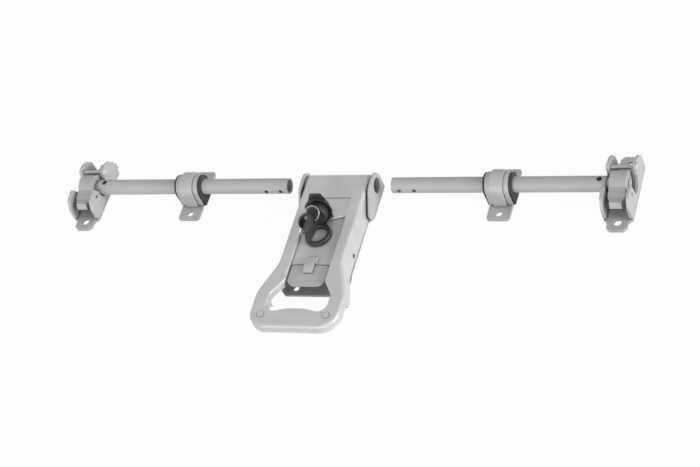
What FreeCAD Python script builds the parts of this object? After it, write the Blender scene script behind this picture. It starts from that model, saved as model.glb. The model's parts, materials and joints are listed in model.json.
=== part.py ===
import FreeCAD, Part
import math
import os
import Sketcher

# Container door lock bar: a lockable pull handle between two cam bars.
# The set lies on its mounting plane, z = 0. The bars run along X, the grip
# points to -Y, and +Z points out of the door. The origin is on the mounting
# plane under the bar axis, midway between the bars. Lengths are millimetres.

Vector = FreeCAD.Vector
Rotation = FreeCAD.Rotation

# Driving dimensions
SIZES = {
    # bars
    "bar_height": 23.5,
    "tube_radius": 11.0,
    "tube_bore_radius": 9.0,
    "tube_inner_end": 79.0,
    "cross_hole_radius": 3.2,
    "cross_hole_inset": 11.0,
    "cross_hole_spacing": 22.3,
    "plug_hole_radius": 4.0,
    "plug_hole_inset": 9.1,
    "running_clearance": 0.05,
    # guides
    "guide_place": 234.8,
    "guide_sheet": 3.0,
    "strap_width": 33.0,
    "strap_flare": 1.0,
    "rib_width": 18.0,
    "rib_rise": 3.0,
    "guide_foot_reach": 44.8,
    "guide_foot_corner": 5.0,
    "guide_hole_place": 33.8,
    "guide_hole_radius": 4.5,
    "bush_wall": 4.0,
    "bush_lip": 2.2,
    "bush_lip_width": 3.3,
    # keepers
    "keeper_place": 402.6,
    "keeper_sheet": 4.0,
    "keeper_half_width": 20.1,
    "keeper_tab_half_width": 14.3,
    "keeper_half_length": 63.5,
    "keeper_tab_corner": 5.0,
    "keeper_channel_front": 44.0,
    "keeper_channel_back": 47.0,
    "keeper_hole_place": 49.4,
    "keeper_hole_radius": 5.5,
    "cheek_height": 39.4,
    "cheek_front": 45.5,
    "cheek_back": 49.0,
    "notch_radius": 13.0,
    "notch_flare": 8.0,
    "horn_round": 4.0,
    "keeper_pin_radius": 3.0,
    "keeper_pin_back": 21.5,
    "keeper_pin_height": 32.5,
    "empty_hole_front": 22.5,
    "empty_hole_height": 29.0,
    "rivet_head_radius": 6.2,
    "rivet_head_height": 2.2,
    # cams
    "cam_width": 23.0,
    "cam_rim_round": 1.5,
    "cam_hub_radius": 17.7,
    "toe_top": 30.0,
    "toe_reach": 37.7,
    "toe_tip_reach": 41.4,
    "toe_tip_height": 22.0,
    "toe_flat": 9.0,
    "toe_chamfer": 3.3,
    "stub_radius": 6.5,
    "stub_length": 1.5,
    "spigot_length": 27.0,
    "spigot_clearance": 0.1,
    "cam_tube_gap": 6.6,
    # base plate
    "plate_sheet": 3.0,
    "plate_half_width": 47.0,
    "plate_foot_half_width": 48.5,
    "plate_foot_corner": 7.0,
    "plate_foot_reach": 177.0,
    "plate_foot_depth": 30.0,
    "plate_back": 18.0,
    "plate_hole_radius": 4.5,
    "plate_hole_half_spacing": 28.0,
    "plate_hole_front": 165.0,
    "plate_hole_back": 34.0,
    "ear_inner": 51.0,
    "ear_radius": 18.0,
    "ear_round": 4.0,
    # handle
    "hub_half_width": 48.0,
    "hub_radius": 15.0,
    "sleeve_radius": 12.5,
    "handle_wall": 3.0,
    "face_sheet": 4.0,
    "edge_round": 4.5,
    "skirt_bottom": 4.5,
    "waist_place": 148.0,
    "waist_half_width": 47.0,
    "flare_place": 196.0,
    "grip_half_width": 65.5,
    "grip_end": 255.5,
    "grip_corner": 27.0,
    "flank_round": 55.0,
    "grip_thickness": 13.5,
    "backing_sheet": 3.2,
    "flank_rise_place": 190.0,
    "flank_rise": 12.0,
    "notch_place": 207.0,
    "window_half_width": 29.2,
    "window_top": 66.0,
    "window_slant": 15.0,
    "window_corner": 2.5,
    "window_end": 177.0,
    "opening_half_width": 44.5,
    "opening_flare_end": 200.0,
    "opening_end": 228.5,
    "opening_corner": 13.0,
    "wave_rise": 4.5,
    "wave_round": 24.0,
    "lip_round": 2.2,
    "label_top": 34.0,
    "label_end": 53.5,
    "label_slant": 20.0,
    "label_half_width": 29.5,
    "label_depth": 1.0,
    "mark_half_spacing": 47.8,
    "mark_place": 235.2,
    "mark_radius": 5.0,
    "mark_height": 0.9,
    "shank_radius": 3.0,
    # panel behind the window
    "panel_sheet": 3.0,
    "panel_half_width": 41.0,
    "panel_end": 147.7,
    "panel_overlap": 6.0,
    "bump_half_width": 8.5,
    "bump_place": 134.0,
    "bump_rise": 3.0,
    "bump_slope": 4.0,
    # catch
    "catch_pin_place": 116.0,
    "catch_pin_height": 12.5,
    "catch_pin_radius": 3.4,
    "catch_pin_sink": 3.0,
    "paddle_half_width": 27.2,
    "paddle_top": 150.0,
    "paddle_end": 183.5,
    "paddle_sheet": 3.0,
    "paddle_undercut": 2.5,
    "paddle_corner": 11.0,
    "paddle_top_corner": 4.0,
    "tongue_half_width": 6.5,
    "tongue_end": 163.0,
    "tongue_start": 143.0,
    "tongue_sheet": 2.6,
    "tongue_gap": 0.35,
    "arm_place": 20.0,
    "arm_sheet": 3.0,
    "spring_wire": 0.8,
    "spring_clearance": 0.25,
    "spring_turns": 4.0,
    "spring_pitch": 2.2,
    # lock
    "lock_side": -2.0,
    "lock_place": 72.0,
    "lock_height": 56.0,
    "lock_tilt": 13.0,
    "housing_radius": 20.5,
    "mouth_radius": 17.0,
    "mouth_depth": 8.0,
    "collar_depth": 4.7,
    "roof_height": 27.8,
    "roof_half_width": 8.2,
    "roof_shoulder": 3.0,
    "roof_back": 12.0,
    "housing_depth": 31.0,
    "housing_wall": 2.5,
    "barrel_radius": 14.5,
    "barrel_out": 12.0,
    "barrel_in": 21.0,
    "tongue_depth": 3.0,
    "lock_tongue_reach": 16.0,
    "lock_tongue_half_width": 4.0,
    "tongue_screw_radius": 2.5,
    "part_gap": 0.4,
    # dust ring
    "ring_radius": 19.0,
    "ring_bore_radius": 12.6,
    "ring_thickness": 5.5,
    "ring_flat": 2.0,
    "ring_pin_radius": 1.2,
    "ring_lug_radius": 2.3,
    "ring_lug_place": 5.4,
    "ring_lug_sheet": 2.4,
    "ring_lift": 0.6,
    # keys
    "blade_thickness": 2.2,
    "blade_height": 8.0,
    "blade_depth": 9.0,
    "neck_length": 14.0,
    "socket_depth": 4.0,
    "head_length": 31.0,
    "head_height": 26.0,
    "head_thickness": 6.0,
    "head_corner": 10.0,
    "eye_rise": 3.4,
    "eye_inset": 5.0,
    "bow_radius": 11.5,
    "bow_thickness": 2.8,
    "bow_hole_radius": 3.4,
    "bow_hole_offset": 5.0,
    "spare_blade_length": 13.0,
    "wire_lean": 38.6,
    "spare_around": 210.0,
    "wire_loop_radius": 10.3,
    "wire_radius": 0.7,
}

doc = FreeCAD.newDocument("LockBar")
sheet = doc.addObject("Spreadsheet::Sheet", "Sizes")
for row, (alias, number) in enumerate(SIZES.items(), start=1):
    sheet.set("A%d" % row, alias)
    sheet.set("B%d" % row, str(number))
    sheet.setAlias("B%d" % row, alias)
doc.recompute()

nodes = []


def size(alias):
    """Read one driving dimension from the sheet."""
    return float(sheet.get(alias))


def ref(formula):
    """Turn plain size names in a formula into references to the sheet."""
    words = formula.replace("(", " ( ").replace(")", " ) ").split()
    return " ".join("Sizes." + word if word in SIZES else word for word in words)


def keep(item):
    """Add a finished piece to the list that is written out."""
    nodes.append(item)
    return item


# Sketches: every corner and circle is bound to the sheet

TURNS = {
    "XY": Rotation(),
    "XZ": Rotation(Vector(1, 0, 0), 90),
    "YZ": Rotation(Vector(1, 1, 1), 120),
}


def body_sketch(body, plane, offset="0"):
    """Start a sketch on one of a body's own origin planes."""
    sketch = body.newObject("Sketcher::SketchObject", body.Label + "_sketch")
    role = plane + "_Plane"
    support = [item for item in body.Origin.OriginFeatures if item.Role == role][0]
    sketch.AttachmentSupport = [(support, "")]
    sketch.MapMode = "FlatFace"
    sketch.setExpression("AttachmentOffset.Base.z", ref(offset))
    return sketch


def free_sketch(label, plane, offset="0"):
    """Start a sketch on a plane of the whole set."""
    sketch = doc.addObject("Sketcher::SketchObject", label + "_sketch")
    sketch.Placement = FreeCAD.Placement(Vector(0, 0, 0), TURNS[plane])
    along = {"XY": "z", "XZ": "y", "YZ": "x"}[plane]
    sketch.setExpression("Placement.Base." + along, ref(offset))
    return sketch


def bind(sketch, kind, geometry, point, start, formula):
    """Constrain one coordinate of a sketch point to a formula."""
    index = sketch.addConstraint(Sketcher.Constraint(kind, geometry, point, start))
    sketch.setExpression("Constraints[%d]" % index, ref(formula))


def outline(sketch, corners):
    """Draw a closed outline whose corners are pairs of formulas."""
    first = sketch.GeometryCount
    count = len(corners)
    start = [Vector(math.cos(2 * math.pi * i / count), math.sin(2 * math.pi * i / count), 0)
             for i in range(count)]
    for i in range(count):
        sketch.addGeometry(Part.LineSegment(start[i], start[(i + 1) % count]), False)
    for i in range(count):
        following = first + (i + 1) % count
        sketch.addConstraint(Sketcher.Constraint("Coincident", first + i, 2, following, 1))
    for i, (across, up) in enumerate(corners):
        bind(sketch, "DistanceX", first + i, 1, start[i].x, across)
        bind(sketch, "DistanceY", first + i, 1, start[i].y, up)
    return sketch


def circle(sketch, across, up, radius):
    """Draw a circle from formulas."""
    index = sketch.addGeometry(Part.Circle(Vector(0, 0, 0), Vector(0, 0, 1), 1.0), False)
    bind(sketch, "DistanceX", index, 3, 0.0, across)
    bind(sketch, "DistanceY", index, 3, 0.0, up)
    limit = sketch.addConstraint(Sketcher.Constraint("Radius", index, 1.0))
    sketch.setExpression("Constraints[%d]" % limit, ref(radius))
    return sketch


def mirrored(corners):
    """Add the mirror image of half an outline, across the second axis."""
    return corners + [("-1 * ( " + across + " )", up) for across, up in reversed(corners)]


# Features inside a body

def new_body(label):
    body = doc.addObject("PartDesign::Body", label)
    body.Label = label
    return keep(body)


def feature(body, kind, sketch, length, both=False, flip=False):
    """Pad or pocket a sketch, over a length or through everything."""
    made = body.newObject("PartDesign::" + kind, body.Label + "_" + kind.lower())
    made.Profile = sketch
    if length is None:
        made.Type = 1
    else:
        made.setExpression("Length", ref(length))
    made.Midplane = both
    made.Reversed = flip
    sketch.Visibility = False
    body.Tip = made
    doc.recompute()
    return made


def pad(body, sketch, length, both=False, flip=False):
    return feature(body, "Pad", sketch, length, both, flip)


def pocket(body, sketch, length=None, both=False, flip=False):
    before = body.Shape.Volume
    made = feature(body, "Pocket", sketch, length, both, flip)
    if body.Shape.Volume > before - 1e-3:
        raise ValueError("a pocket in %s cuts nothing" % body.Label)
    return made


def mirror(body, features, plane):
    """Mirror features of a body across one of its origin planes."""
    made = body.newObject("PartDesign::Mirrored", body.Label + "_mirror")
    role = plane + "_Plane"
    support = [item for item in body.Origin.OriginFeatures if item.Role == role][0]
    made.Originals = features
    made.MirrorPlane = (support, [""])
    body.Tip = made
    doc.recompute()
    return made


def along(edge, axis):
    """Say whether a straight edge runs along an axis vector."""
    if edge.Curve.TypeId != "Part::GeomLine":
        return False
    return abs(edge.tangentAt(edge.FirstParameter).dot(axis)) > 0.999


def soften(body, radius, pick):
    """Round the picked edges of a body."""
    base = body.Tip
    names = ["Edge%d" % (i + 1) for i, edge in enumerate(base.Shape.Edges) if pick(edge)]
    if not names:
        raise ValueError("no edge to round in %s" % body.Label)
    made = body.newObject("PartDesign::Fillet", body.Label + "_round")
    made.Base = (base, names)
    made.setExpression("Radius", ref(radius))
    body.Tip = made
    doc.recompute()
    return made


# Features outside a body

def extrude(sketch, length, both=False, flip=False):
    made = doc.addObject("Part::Extrusion", "Extrusion")
    made.Base = sketch
    made.DirMode = "Normal"
    made.setExpression("LengthFwd", ref(length))
    made.Solid = True
    made.Symmetric = both
    made.Reversed = flip
    doc.recompute()
    return made


def fuse(*items):
    made = doc.addObject("Part::MultiFuse", "Fusion")
    made.Shapes = list(items)
    made.Refine = True
    doc.recompute()
    return made


def cut(base, *tools):
    for tool in tools:
        made = doc.addObject("Part::Cut", "Cut")
        made.Base = base
        made.Tool = tool
        made.Refine = True
        doc.recompute()
        if made.Shape.Volume > base.Shape.Volume - 1e-3:
            raise ValueError("a cut takes nothing away")
        base = made
    return base


def round_off(base, radius, pick):
    """Round picked edges of a feature that is outside a body."""
    made = doc.addObject("Part::Fillet", "Fillet")
    made.Base = base
    picked = [i + 1 for i, edge in enumerate(base.Shape.Edges) if pick(edge)]
    if not picked:
        raise ValueError("no edge to round")
    made.Edges = [(index, radius, radius) for index in picked]
    doc.recompute()
    return made


def rod(radius, length, place, turn):
    """A round bar whose sizes are formulas, centred on its place along its axis."""
    made = doc.addObject("Part::Cylinder", "Rod")
    made.setExpression("Radius", ref(radius))
    made.setExpression("Height", ref(length))
    doc.recompute()
    reach = turn.multVec(Vector(0, 0, made.Height.Value / 2))
    made.Placement = FreeCAD.Placement(place - reach, turn)
    doc.recompute()
    return made


def label(item, name):
    item.Label = name
    return keep(item)


ALONG_X = Rotation(Vector(0, 1, 0), 90)
X_AXIS = Vector(1, 0, 0)
Y_AXIS = Vector(0, 1, 0)
Z_AXIS = Vector(0, 0, 1)


# Keeper brackets at the bar ends

def keeper(side, sign):
    body = new_body(side + "_keeper")
    tab = "keeper_tab_half_width"
    corner = "keeper_tab_corner"
    step = "( keeper_half_width - keeper_tab_half_width )"
    half = [
        (tab + " - " + corner, "-1 * keeper_half_length"),
        (tab, "-1 * keeper_half_length + " + corner),
        (tab, "-1 * keeper_channel_front - " + step),
        ("keeper_half_width", "-1 * keeper_channel_front"),
        ("keeper_half_width", "keeper_channel_back"),
        (tab, "keeper_channel_back + " + step),
        (tab, "keeper_half_length - " + corner),
        (tab + " - " + corner, "keeper_half_length"),
    ]
    pad(body, outline(body_sketch(body, "XY"), mirrored(half)), "keeper_sheet")

    cheek = outline(body_sketch(body, "YZ", "keeper_half_width - keeper_sheet"), [
        ("-1 * keeper_channel_front + 2", "0"),
        ("-1 * cheek_front", "7"),
        ("-1 * cheek_front + 0.5", "24"),
        ("-1 * cheek_front + 7.5", "cheek_height - 2"),
        ("-1 * cheek_front + 16", "cheek_height"),
        ("cheek_back - 20", "cheek_height"),
        ("cheek_back - 8", "cheek_height - 5.5"),
        ("cheek_back - 0.5", "24"),
        ("cheek_back", "6"),
        ("keeper_channel_back", "0"),
    ])
    plate = pad(body, cheek, "keeper_sheet")
    mirror(body, [plate], "YZ")
    pocket(body, circle(body_sketch(body, "YZ"), "0", "bar_height", "notch_radius"), None, True)
    mouth = outline(body_sketch(body, "YZ"), [
        ("-1 * notch_radius + 0.5", "bar_height + 3.5"),
        ("notch_radius - 0.5", "bar_height + 3.5"),
        ("notch_radius - 0.5 + notch_flare", "cheek_height + 5"),
        ("-1 * notch_radius + 0.5 - notch_flare", "cheek_height + 5"),
    ])
    pocket(body, mouth, None, True)

    floor = size("keeper_sheet") + 1
    soften(body, "horn_round",
           lambda edge: along(edge, X_AXIS) and edge.Vertexes[0].Point.z > floor
           and edge.Length < size("keeper_sheet") + 0.1)

    holes = circle(body_sketch(body, "YZ"), "keeper_pin_back", "keeper_pin_height",
                   "keeper_pin_radius + running_clearance")
    circle(holes, "-1 * empty_hole_front", "empty_hole_height", "keeper_pin_radius")
    pocket(body, holes, None, True)
    screws = circle(body_sketch(body, "XY"), "0", "keeper_hole_place", "keeper_hole_radius")
    circle(screws, "0", "-1 * keeper_hole_place", "keeper_hole_radius")
    pocket(body, screws, None, True)
    body.setExpression("Placement.Base.x", "%d * Sizes.keeper_place" % sign)


def keeper_pin(side, sign):
    """A riveted cross pin: a turned profile with a domed head at each end."""
    body = new_body(side + "_keeper_pin")
    half = [
        ("keeper_half_width + rivet_head_height", "0"),
        ("keeper_half_width + rivet_head_height", "rivet_head_radius * 0.45"),
        ("keeper_half_width + rivet_head_height * 0.7", "rivet_head_radius * 0.78"),
        ("keeper_half_width + rivet_head_height * 0.25", "rivet_head_radius"),
        ("keeper_half_width", "rivet_head_radius"),
        ("keeper_half_width", "keeper_pin_radius"),
    ]
    profile = outline(body_sketch(body, "XY"), mirrored(half))
    turned = body.newObject("PartDesign::Revolution", "turned")
    turned.Profile = profile
    turned.ReferenceAxis = (profile, ["H_Axis"])
    turned.Angle = 360.0
    body.Tip = turned
    body.setExpression("Placement.Base.x", "%d * Sizes.keeper_place" % sign)
    body.setExpression("Placement.Base.y", "Sizes.keeper_pin_back")
    body.setExpression("Placement.Base.z", "Sizes.keeper_pin_height")


# Cams and bars

CAM_OUTER = "cam_width / 2"


def cam(side, sign):
    """Hub, toe, outer stub and the spigot that fills the end of the bar."""
    body = new_body(side + "_cam")
    outer = "%d * ( %s )" % (sign, CAM_OUTER)
    inner = "%d * ( %s - cam_width )" % (sign, CAM_OUTER)
    inward = sign > 0
    hub = circle(body_sketch(body, "YZ", inner), "0", "bar_height", "cam_hub_radius")
    pad(body, hub, "cam_width", flip=not inward)
    toe = outline(body_sketch(body, "YZ", inner), [
        ("0", "bar_height + cam_hub_radius * 0.9"),
        ("-1 * cam_hub_radius * 0.78", "bar_height + cam_hub_radius * 0.62"),
        ("-1 * toe_reach + toe_flat + 4", "toe_top + 1.6"),
        ("-1 * toe_reach + toe_flat", "toe_top"),
        ("-1 * toe_reach", "toe_top"),
        ("-1 * toe_tip_reach", "toe_tip_height"),
        ("-1 * toe_tip_reach + 5", "toe_tip_height - 4"),
        ("-1 * cam_hub_radius * 0.7", "bar_height - cam_hub_radius * 0.7"),
        ("0", "bar_height"),
    ])
    pad(body, toe, "cam_width", flip=not inward)
    corners = body_sketch(body, "XY")
    for face, way in ((outer, sign), (inner, -sign)):
        outline(corners, [
            (face + " - %d * toe_chamfer" % way, "-1 * toe_tip_reach - 1"),
            (face + " + %d" % way, "-1 * toe_tip_reach - 1"),
            (face + " + %d" % way, "-1 * toe_reach + toe_flat"),
            (face, "-1 * toe_reach + toe_flat"),
            (face + " - %d * toe_chamfer" % way, "-1 * toe_reach + toe_chamfer * 0.5"),
        ])
    pocket(body, corners, None, True)
    stub = circle(body_sketch(body, "YZ", outer), "0", "bar_height", "stub_radius")
    pad(body, stub, "stub_length", flip=not inward)
    spigot = circle(body_sketch(body, "YZ", inner), "0", "bar_height",
                    "tube_bore_radius - spigot_clearance")
    pad(body, spigot, "spigot_length", flip=inward)
    body.setExpression("Placement.Base.x", "%d * Sizes.keeper_place" % sign)


def bar_tube(side, sign):
    """A bar with two cross holes at the inner end and a plug hole at the outer end."""
    body = new_body(side + "_bar_tube")
    outer_end = "keeper_place + " + CAM_OUTER + " - cam_width - cam_tube_gap"
    ring = circle(body_sketch(body, "YZ", "%d * tube_inner_end" % sign),
                  "0", "bar_height", "tube_radius")
    circle(ring, "0", "bar_height", "tube_bore_radius")
    pad(body, ring, outer_end + " - tube_inner_end", flip=sign < 0)
    first = "%d * ( tube_inner_end + cross_hole_inset )" % sign
    second = "%d * ( tube_inner_end + cross_hole_inset + cross_hole_spacing )" % sign
    holes = circle(body_sketch(body, "XZ"), first, "bar_height", "cross_hole_radius")
    circle(holes, second, "bar_height", "cross_hole_radius")
    pocket(body, holes, "tube_radius + 1", flip=True)
    plug = circle(body_sketch(body, "XY", "bar_height"),
                  "%d * ( %s - plug_hole_inset )" % (sign, outer_end), "0", "plug_hole_radius")
    pocket(body, plug, "tube_radius + 1", flip=True)


# Guides along the bars

def arch(body, radius, foot, width, action):
    """Pad or pocket an arch over the bar: a round top on straight legs."""
    top = circle(body_sketch(body, "YZ"), "0", "bar_height", radius)
    action(body, top, width, both=True)
    legs = outline(body_sketch(body, "YZ"), [
        (foot, "0"),
        (radius, "bar_height"),
        ("-1 * ( " + radius + " )", "bar_height"),
        ("-1 * ( " + foot + " )", "0"),
    ])
    action(body, legs, width, both=True)


def guide_strap(side, sign):
    body = new_body(side + "_guide_strap")
    inside = "tube_radius + bush_wall"
    outside = inside + " + guide_sheet"
    bead = outside + " + rib_rise"
    feet = outline(body_sketch(body, "XY"), mirrored([
        ("strap_width / 2", "-1 * guide_foot_reach"),
        ("strap_width / 2", "guide_foot_reach"),
    ]))
    pad(body, feet, "guide_sheet")
    soften(body, "guide_foot_corner", lambda edge: along(edge, Z_AXIS))
    arch(body, outside, outside + " + strap_flare", "strap_width", pad)
    arch(body, bead, bead + " + strap_flare", "rib_width", pad)
    arch(body, inside, inside + " + strap_flare", "strap_width + 2", pocket)
    arch(body, outside, outside + " + strap_flare", "rib_width - 2 * guide_sheet", pocket)
    holes = circle(body_sketch(body, "XY"), "0", "guide_hole_place", "guide_hole_radius")
    circle(holes, "0", "-1 * guide_hole_place", "guide_hole_radius")
    pocket(body, holes, None, True)
    body.setExpression("Placement.Base.x", "%d * Sizes.guide_place" % sign)


def guide_bush(side, sign):
    """A rubber bush that fills the strap and stands out of it at both sides."""
    body = new_body(side + "_guide_bush")
    inside = "tube_radius + bush_wall - running_clearance"
    band = "tube_radius + bush_wall + guide_sheet - running_clearance"
    arch(body, inside, inside + " + strap_flare", "strap_width + 2 * bush_lip_width", pad)
    arch(body, band, band + " + strap_flare",
         "rib_width - 2 * guide_sheet - 2 * running_clearance", pad)
    for edge in (-1, 1):
        lip_radius = "tube_radius + bush_wall + bush_lip"
        start = "%d * ( strap_width / 2 + running_clearance )" % edge
        lip = circle(body_sketch(body, "YZ", start), "0", "bar_height", lip_radius)
        pad(body, lip, "bush_lip_width - running_clearance", flip=edge < 0)
        legs = outline(body_sketch(body, "YZ", start), [
            ("tube_radius + bush_wall", "0"),
            (lip_radius, "bar_height"),
            ("-1 * ( " + lip_radius + " )", "bar_height"),
            ("-1 * ( tube_radius + bush_wall )", "0"),
        ])
        pad(body, legs, "bush_lip_width - running_clearance", flip=edge < 0)
    bore = circle(body_sketch(body, "YZ"), "0", "bar_height", "tube_radius + running_clearance")
    pocket(body, bore, None, True)
    body.setExpression("Placement.Base.x", "%d * Sizes.guide_place" % sign)


# Base plate with the ears that carry the handle

def base_plate():
    body = new_body("base_plate")
    ear_outer = "ear_inner + plate_sheet"
    half = [
        ("plate_foot_half_width - plate_foot_corner", "-1 * plate_foot_reach"),
        ("plate_foot_half_width", "-1 * plate_foot_reach + plate_foot_corner"),
        ("plate_foot_half_width", "-1 * plate_foot_reach + plate_foot_depth"),
        ("plate_half_width", "-1 * plate_foot_reach + plate_foot_depth + 6"),
        ("plate_half_width", "-48"),
        (ear_outer, "-41"),
        (ear_outer, "plate_back"),
    ]
    pad(body, outline(body_sketch(body, "XY"), mirrored(half)), "plate_sheet")
    ear = outline(body_sketch(body, "YZ", "ear_inner"), [
        ("-41", "0"),
        ("-46", "4.5"),
        ("-49", "10"),
        ("-47", "17"),
        ("-21", "bar_height + ear_radius - 2"),
        ("-9", "bar_height + ear_radius"),
        ("0", "bar_height + ear_radius"),
        ("0", "bar_height"),
        ("ear_radius", "bar_height"),
        ("plate_back", "0"),
    ])
    flank = pad(body, ear, "plate_sheet")
    top = circle(body_sketch(body, "YZ", "ear_inner"), "0", "bar_height", "ear_radius")
    crown = pad(body, top, "plate_sheet")
    mirror(body, [flank, crown], "YZ")
    soften(body, "ear_round",
           lambda edge: along(edge, X_AXIS) and edge.Length < size("plate_sheet") + 0.1
           and edge.Vertexes[0].Point.y < -15 and edge.Vertexes[0].Point.z > 3.5)
    bore = circle(body_sketch(body, "YZ"), "0", "bar_height", "sleeve_radius + running_clearance")
    pocket(body, bore, None, True)
    screws = body_sketch(body, "XY")
    for across in ("plate_hole_half_spacing", "-1 * plate_hole_half_spacing"):
        for place in ("plate_hole_front", "plate_hole_back"):
            circle(screws, across, "-1 * " + place, "plate_hole_radius")
    pocket(body, screws, None, True)


# Handle

def handle_plan(inset, top, end):
    """Half of the handle's outline seen from the front, drawn in by an inset."""
    return [
        ("hub_half_width - " + inset, top),
        ("waist_half_width - " + inset, "-1 * waist_place"),
        ("grip_half_width - " + inset, "-1 * flare_place"),
        ("grip_half_width - " + inset, end),
    ]


def near(value, target, slack=0.05):
    return abs(value - target) < slack


def edge_at(edge, height):
    """Say whether an edge lies in a level plane."""
    box = edge.BoundBox
    return near(box.ZMin, height) and near(box.ZMax, height)


def grip_block(bottom, top):
    """The handle's whole outline as a block between two levels."""
    sketch = free_sketch("plan", "XY", bottom)
    outline(sketch, mirrored(handle_plan("0", "0", "-1 * grip_end")))
    block = extrude(sketch, top + " - ( " + bottom + " )")
    corner = size("grip_end")
    block = round_off(block, size("grip_corner"), lambda edge: along(edge, Z_AXIS)
                      and near(edge.Vertexes[0].Point.y, -corner))
    places = (size("waist_place"), size("flare_place"))
    return round_off(block, size("flank_round"), lambda edge: along(edge, Z_AXIS)
                     and any(near(edge.Vertexes[0].Point.y, -place) for place in places))


def opening_sketch():
    """Window and hand opening as one outline, with a soft wave over the grip."""
    return outline(free_sketch("opening", "XY"), [
        ("window_half_width", "-1 * window_top"),
        ("window_half_width", "-1 * window_end"),
        ("opening_half_width", "-1 * opening_flare_end"),
        ("opening_half_width", "-1 * opening_end + 2"),
        ("opening_half_width * 0.72", "-1 * opening_end"),
        ("opening_half_width * 0.3", "-1 * opening_end + wave_rise"),
        ("-1 * opening_half_width * 0.3", "-1 * opening_end + wave_rise"),
        ("-1 * opening_half_width * 0.72", "-1 * opening_end"),
        ("-1 * opening_half_width", "-1 * opening_end + 2"),
        ("-1 * opening_half_width", "-1 * opening_flare_end"),
        ("-1 * window_half_width", "-1 * window_end"),
        ("-1 * window_half_width", "-1 * window_top - window_slant"),
    ])


def opening_tool():
    tool = extrude(opening_sketch(), "bar_height + hub_radius + 10")
    corner = size("opening_half_width")
    end = size("opening_end")

    def at(edge, across, place):
        point = edge.Vertexes[0].Point
        return along(edge, Z_AXIS) and near(abs(point.x), across) and near(point.y, place)

    tool = round_off(tool, size("opening_corner"),
                     lambda edge: at(edge, corner, -end + 2)
                     or at(edge, corner, -size("opening_flare_end")))
    tool = round_off(tool, size("wave_round"),
                     lambda edge: at(edge, corner * 0.3, -end + size("wave_rise")))
    tool = round_off(tool, size("wave_round") * 0.5,
                     lambda edge: at(edge, size("window_half_width"), -size("window_end")))
    return round_off(tool, size("window_corner"),
                     lambda edge: along(edge, Z_AXIS)
                     and edge.Vertexes[0].Point.y > -size("window_top") - size("window_slant") - 1)


def handle_shell():
    face = "bar_height + hub_radius"
    face_height = size("bar_height") + size("hub_radius")
    inner_face = face + " - face_sheet"
    block = grip_block("0", face)
    block = round_off(block, size("edge_round"),
                      lambda edge: edge_at(edge, face_height) and edge.BoundBox.YMin < -1)
    hub = rod("hub_radius", "2 * hub_half_width", Vector(0, 0, size("bar_height")), ALONG_X)
    hub = round_off(hub, size("edge_round"),
                    lambda edge: edge.Curve.TypeId == "Part::GeomCircle")
    whole = fuse(block, hub)

    grip_bottom = face + " - grip_thickness + backing_sheet"
    under = extrude(outline(free_sketch("under", "YZ"), [
        ("1", "-1"),
        ("1", "bar_height - hub_radius"),
        ("-3", "bar_height - hub_radius"),
        ("-14", "skirt_bottom"),
        ("-1 * waist_place", "skirt_bottom"),
        ("-1 * flank_rise_place", "skirt_bottom + flank_rise"),
        ("-1 * notch_place", "skirt_bottom + flank_rise"),
        ("-1 * notch_place - 4", grip_bottom),
        ("-1 * grip_end - 5", grip_bottom),
        ("-1 * grip_end - 5", "-1"),
    ]), "2 * grip_half_width + 10", both=True)
    hollow = extrude(outline(free_sketch("hollow", "XY", "-1"), mirrored([
        ("hub_half_width - handle_wall", "-3"),
        ("waist_half_width - handle_wall", "-1 * waist_place"),
        ("grip_half_width - handle_wall - 1", "-1 * flare_place"),
        ("grip_half_width - handle_wall - 1", "-1 * notch_place"),
    ])), inner_face + " + 1")
    barrel = rod("sleeve_radius + running_clearance", "2 * hub_half_width + 2",
                 Vector(0, 0, size("bar_height")), ALONG_X)
    belly = extrude(outline(free_sketch("belly", "YZ"), [
        ("-3.5", "-1"),
        ("0", "-1"),
        ("0", "bar_height"),
        ("-3.5", "bar_height"),
    ]), "2 * ( hub_half_width - handle_wall )", both=True)
    shell = cut(whole, under, hollow, barrel, opening_tool(), belly)

    label_sketch = outline(free_sketch("name_field", "XY", face + " - label_depth"), [
        ("label_half_width", "-1 * label_top"),
        ("label_half_width", "-1 * label_end"),
        ("-1 * label_half_width", "-1 * label_end - label_slant"),
        ("-1 * label_half_width", "-1 * label_top"),
    ])
    field = extrude(label_sketch, "label_depth + 1")
    field = round_off(field, size("window_corner"), lambda edge: along(edge, Z_AXIS))
    pin_holes = rod("catch_pin_radius", "2 * hub_half_width + 2",
                    Vector(0, -size("catch_pin_place"), size("catch_pin_height")), ALONG_X)
    drill = circle(free_sketch("marks", "XY"), "mark_half_spacing", "-1 * mark_place",
                   "shank_radius")
    circle(drill, "-1 * mark_half_spacing", "-1 * mark_place", "shank_radius")
    marks = extrude(drill, face + " + 1")
    slot = extrude(outline(free_sketch("tongue_slot", "XY"), [
        ("lock_side - 7", "-1 * lock_place + 15.5"),
        ("lock_side + 11", "-1 * lock_place + 15.5"),
        ("lock_side + 11", "-1 * lock_place + 23"),
        ("lock_side - 7", "-1 * lock_place + 23"),
    ]), face + " + 1")
    shell = cut(shell, field, pin_holes, marks, slot)
    lip = round_off(shell, size("lip_round"), on_opening_lip(face_height))
    return label(lip, "handle_shell")


def on_opening_lip(face_height):
    """Pick the front edges of the hand opening, below the catch."""
    first = -size("window_end") + 1
    inner = size("opening_half_width") + 0.5

    def pick(edge):
        box = edge.BoundBox
        inside = box.XMin > -inner and box.XMax < inner
        long_side = near(abs(box.Center.x), size("window_half_width"), 0.2)
        low = box.YMax < -size("window_top") + 1 and box.YMin < first
        return edge_at(edge, face_height) and inside and (low or long_side) \
            and box.YMin > -size("opening_end") - 1 and box.YMax < -size("label_end")
    return pick


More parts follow.
